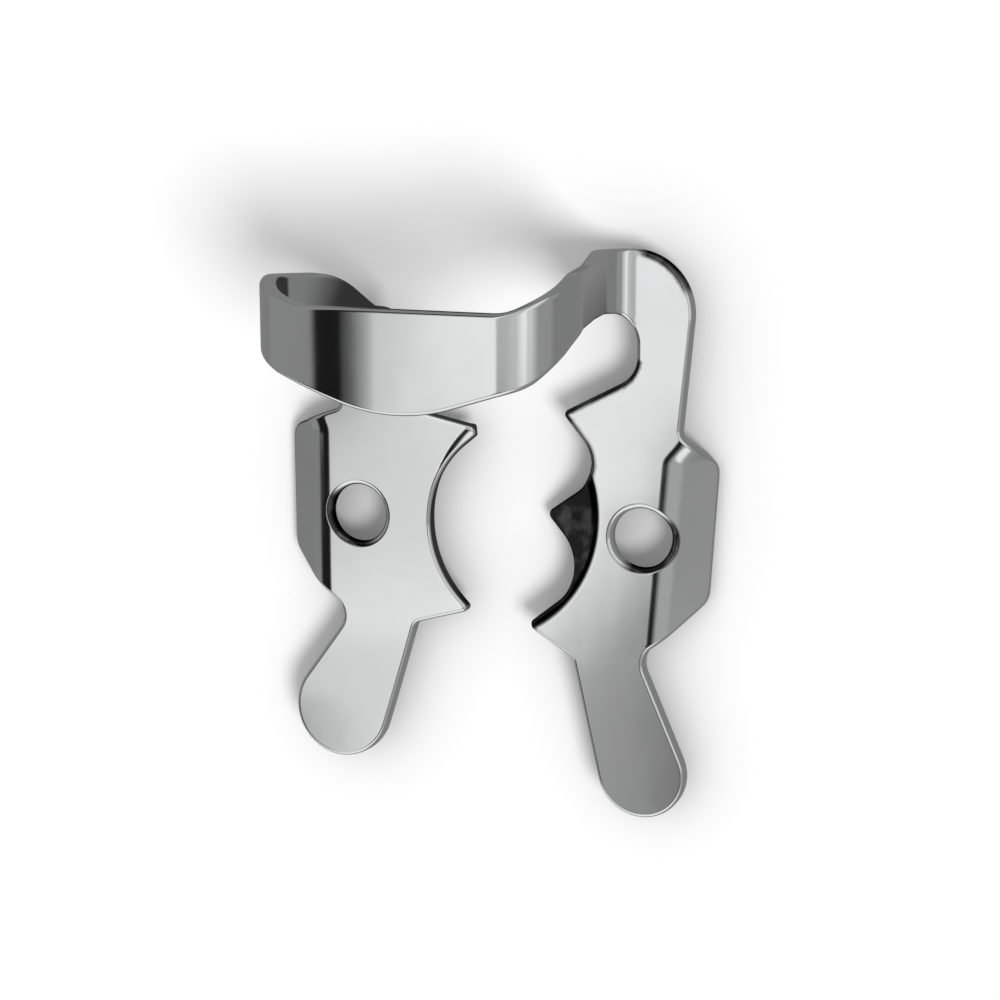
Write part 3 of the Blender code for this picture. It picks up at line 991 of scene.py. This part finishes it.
def polished_steel(look):
    """Mirror polish with faint smears and waves, darkened and mottled where painted dark reflections and
    shade are laid on.
    """
    steel = bpy.data.materials.new("polished_steel_finish")
    steel.use_nodes = True
    tree = steel.node_tree
    shader = tree.nodes["Principled BSDF"]
    shader.inputs["Metallic"].default_value = 1.0
    place = tree.nodes.new("ShaderNodeTexCoord").outputs["Object"]
    # Painted dark reflections and shade, broken up by a mottle, darken the base colour and the tint
    mark = tree.nodes.new("ShaderNodeAttribute")
    mark.attribute_name = "painted_dark_reflections"
    mottle = mapped(tree, grain(tree, place, *MOTTLE), *MOTTLE_SPAN)
    marked = reckoned(tree, "MULTIPLY", mark.outputs["Fac"], mottle)
    for name, bare in (("Base Color", (*look.colour, 1.0)), ("Specular Tint", grey(1.0))):
        tree.links.new(blend(tree, marked, bare, grey(PAINTED_DARK_TONE)), shader.inputs[name])
    smears = grain(tree, place, *SMEARS)
    roughest = look.roughness + SMEAR_ROUGHNESS
    tree.links.new(mapped(tree, smears, *SMEAR_SPAN, look.roughness, roughest), shader.inputs["Roughness"])
    bump = tree.nodes.new("ShaderNodeBump")
    bump.inputs["Strength"].default_value = look.polish_marks
    bump.inputs["Distance"].default_value = WAVE_DEPTH
    tree.links.new(grain(tree, place, *WAVES), bump.inputs["Height"])
    tree.links.new(bump.outputs["Normal"], shader.inputs["Normal"])
    return steel


# Clamp operator

class DAMCLAMP_OT_press_clamp(bpy.types.Operator):
    """Press the clamp from its flat blank and polish it"""
    bl_idname = "damclamp.press_clamp"
    bl_label = "Press clamp"

    def execute(self, context):
        clamp = pressed_clamp("pressed_clamp", context.scene.clamp_sizes)
        clamp.data.materials.append(polished_steel(context.scene.steel_look))
        # The studio's panels stand in for the clamp's mirror images of itself
        clamp.visible_glossy = False
        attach(clamp, "root")
        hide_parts("clamp_body")
        return {"FINISHED"}


# Stage

def floor_material(look):
    """White paper that keeps shadows, with painted shade darkening it beside the steel; in reflections it
    glows with painted tones instead.
    """
    paper = bpy.data.materials.new("floor_paper")
    paper.use_nodes = True
    tree = paper.node_tree
    shader = tree.nodes["Principled BSDF"]
    shader.inputs["Roughness"].default_value = FLOOR_ROUGHNESS
    shader.inputs["Specular IOR Level"].default_value = 0.0
    path = tree.nodes.new("ShaderNodeLightPath")
    mirrored = path.outputs["Is Glossy Ray"]
    place = tree.nodes.new("ShaderNodeTexCoord").outputs["Object"]
    # Painted shade for the mirrored floor: a glowing dark tone near the clamp, grey farther out
    away = wire(tree, "ShaderNodeVectorMath", (place, FLOOR_SHADE_CENTRE), "DISTANCE").outputs["Value"]
    in_shade = mapped(tree, away, *FLOOR_SHADE_REACH)
    mirror_tone = blend(tree, in_shade, grey(FLOOR_NEAR_TONE), grey(FLOOR_FAR_TONE))
    lift = reckoned(tree, "MULTIPLY_ADD", path.outputs["Is Camera Ray"], look.floor_lift, mirrored)
    tree.links.new(blend(tree, mirrored, grey(1.0), mirror_tone), shader.inputs["Emission Color"])
    tree.links.new(lift, shader.inputs["Emission Strength"])
    # Painted shade: ambient occlusion darkens the floor's colour close to the steel
    close = tree.nodes.new("ShaderNodeAmbientOcclusion")
    close.inputs["Distance"].default_value = FLOOR_CLOSE_REACH
    open_share = mapped(tree, close.outputs["AO"], 0.0, 1.0, FLOOR_CLOSE_TONE, 1.0)
    white = blend(tree, open_share, grey(0.0), (*look.floor_colour, 1.0))
    tree.links.new(blend(tree, mirrored, white, grey(0.0)), shader.inputs["Base Color"])
    return paper


def panel_ramp(tree, angle, panels):
    """Brightness by the angle across the studio: each panel is even, with soft gaps between."""
    share = mapped(tree, angle, -radians(STUDIO_HALF_TURN), radians(STUDIO_HALF_TURN))
    ramp = tree.nodes.new("ShaderNodeValToRGB")
    stops = ramp.color_ramp.elements
    ends = [(end, brightness) for start, stop, brightness in panels for end in (start, stop)]
    stops[0].color = grey(ends[0][1])
    stops[-1].color = grey(ends[-1][1])
    for end, brightness in ends[1:-1]:
        stops.new((end + STUDIO_HALF_TURN) / (2 * STUDIO_HALF_TURN)).color = grey(brightness)
    tree.links.new(share, ramp.inputs["Fac"])
    return ramp.outputs["Color"]


def studio_reflections(tree):
    """Softboxes, cards and walls that the polished steel reflects, by direction."""
    place = tree.nodes.new("ShaderNodeTexCoord")
    way = wire(tree, "ShaderNodeSeparateXYZ", (place.outputs["Generated"],)).outputs
    angle = reckoned(tree, "ARCTAN2", way["X"], way["Z"])
    distal = way["Y"]
    brighter = mapped(tree, distal, *SOFTBOX_GAIN)
    softbox = (panel_ramp(tree, angle, FRONT_PANELS), brighter)
    front = wire(tree, "ShaderNodeVectorMath", softbox, "MULTIPLY").outputs["Vector"]
    skewed = reckoned(tree, "MULTIPLY_ADD", angle, -SOFTBOX_SKEW, distal)
    near = blend(tree, mapped(tree, skewed, *SOFTBOX_END), panel_ramp(tree, angle, END_PANELS), front)
    to_back = mapped(tree, distal, *BACK_PANELS_START)
    panels = blend(tree, to_back, near, panel_ramp(tree, angle, BACK_PANELS))
    to_wall = mapped(tree, distal, *FRONT_WALL_START)
    on_wall = reckoned(tree, "MULTIPLY", to_wall, mapped(tree, angle, *FRONT_WALL_END, 1.0, 0.0))
    return blend(tree, on_wall, panels, grey(1.0))


def studio_world(look):
    """A white background, an even room that lights the clamp, and the panels in reflections."""
    world = bpy.data.worlds.new("studio")
    bpy.context.scene.world = world
    world.use_nodes = True
    tree = world.node_tree
    tree.nodes.clear()
    output = tree.nodes.new("ShaderNodeOutputWorld")
    path = tree.nodes.new("ShaderNodeLightPath").outputs
    lights = ((grey(1.0), look.sky_strength), (studio_reflections(tree), 1.0), (grey(1.0), 1.0))
    backgrounds = [wire(tree, "ShaderNodeBackground", light).outputs["Background"] for light in lights]
    room, panels, white = backgrounds
    unseen = wire(tree, "ShaderNodeMixShader", (path["Is Glossy Ray"], room, panels)).outputs["Shader"]
    seen = wire(tree, "ShaderNodeMixShader", (path["Is Camera Ray"], unseen, white)).outputs["Shader"]
    tree.links.new(seen, output.inputs["Surface"])


def key_lamp(look):
    """One soft lamp for the floor's shadows; the steel doesn't mirror it."""
    data = bpy.data.lights.new("key_lamp", "SUN")
    data.energy = look.key_strength
    data.angle = radians(LAMP_SPREAD_DEG)
    lamp = bpy.data.objects.new("key_lamp", data)
    lamp.visible_glossy = False
    bpy.context.scene.collection.objects.link(lamp)
    lamp.rotation_euler = Vector(LAMP_WAY).normalized().to_track_quat("Z", "Y").to_euler()


def camera_at_photo_angle():
    """The camera looks steeply down, a little from the serrated side and from the bow."""
    data = bpy.data.cameras.new("camera")
    data.lens = CAMERA_LENS
    data.sensor_width = CAMERA_SENSOR
    data.clip_start = CAMERA_CLIP
    camera = bpy.data.objects.new("camera", data)
    bpy.context.scene.collection.objects.link(camera)
    back = Vector(CAMERA_WAY).normalized()
    right = Vector((back.z, 0.0, -back.x)).normalized()
    turn = Matrix((right, back.cross(right), back)).transposed()
    place = Vector(CAMERA_TARGET) + back * CAMERA_DISTANCE
    camera.matrix_world = Matrix.Translation(place) @ turn.to_4x4()
    bpy.context.scene.camera = camera


class DAMCLAMP_OT_set_stage(bpy.types.Operator):
    """Lay the floor, light it and stand the camera at the photograph's angle"""
    bl_idname = "damclamp.set_stage"
    bl_label = "Set stage"

    def execute(self, context):
        look = context.scene.stage_look
        bpy.ops.object.select_all(action="DESELECT")
        bpy.ops.mesh.primitive_circle_add(
            vertices=FLOOR_SIDES, radius=FLOOR_RADIUS, fill_type="NGON", location=(0, 0, 0))
        floor = context.active_object
        floor.name = "floor"
        floor.data.materials.append(floor_material(look))
        studio_world(look)
        key_lamp(look)
        camera_at_photo_angle()
        context.scene.view_settings.view_transform = "Standard"
        return {"FINISHED"}


# Panel and add-on

class DAMCLAMP_PT_panel(bpy.types.Panel):
    bl_label = "Dam Clamp"
    bl_idname = "DAMCLAMP_PT_panel"
    bl_space_type = "VIEW_3D"
    bl_region_type = "UI"
    bl_category = "Dam Clamp"

    def draw(self, context):
        layout = self.layout
        for heading, group in (("Sizes", context.scene.clamp_sizes),
                               ("Steel", context.scene.steel_look),
                               ("Stage", context.scene.stage_look)):
            box = layout.box()
            box.label(text=heading)
            for name in group.__annotations__:
                box.prop(group, name)
        layout.operator("damclamp.press_clamp")
        layout.operator("damclamp.set_stage")


CLASSES = (
    ClampSizes,
    SteelLook,
    StageLook,
    DAMCLAMP_OT_press_clamp,
    DAMCLAMP_OT_set_stage,
    DAMCLAMP_PT_panel,
)


def register():
    for cls in CLASSES:
        bpy.utils.register_class(cls)
    bpy.types.Scene.clamp_sizes = PointerProperty(type=ClampSizes)
    bpy.types.Scene.steel_look = PointerProperty(type=SteelLook)
    bpy.types.Scene.stage_look = PointerProperty(type=StageLook)


def unregister():
    del bpy.types.Scene.stage_look
    del bpy.types.Scene.steel_look
    del bpy.types.Scene.clamp_sizes
    for cls in reversed(CLASSES):
        bpy.utils.unregister_class(cls)


def main():
    register()
    bpy.ops.damclamp.press_clamp()
    bpy.ops.damclamp.set_stage()


if __name__ == "__main__":
    main()
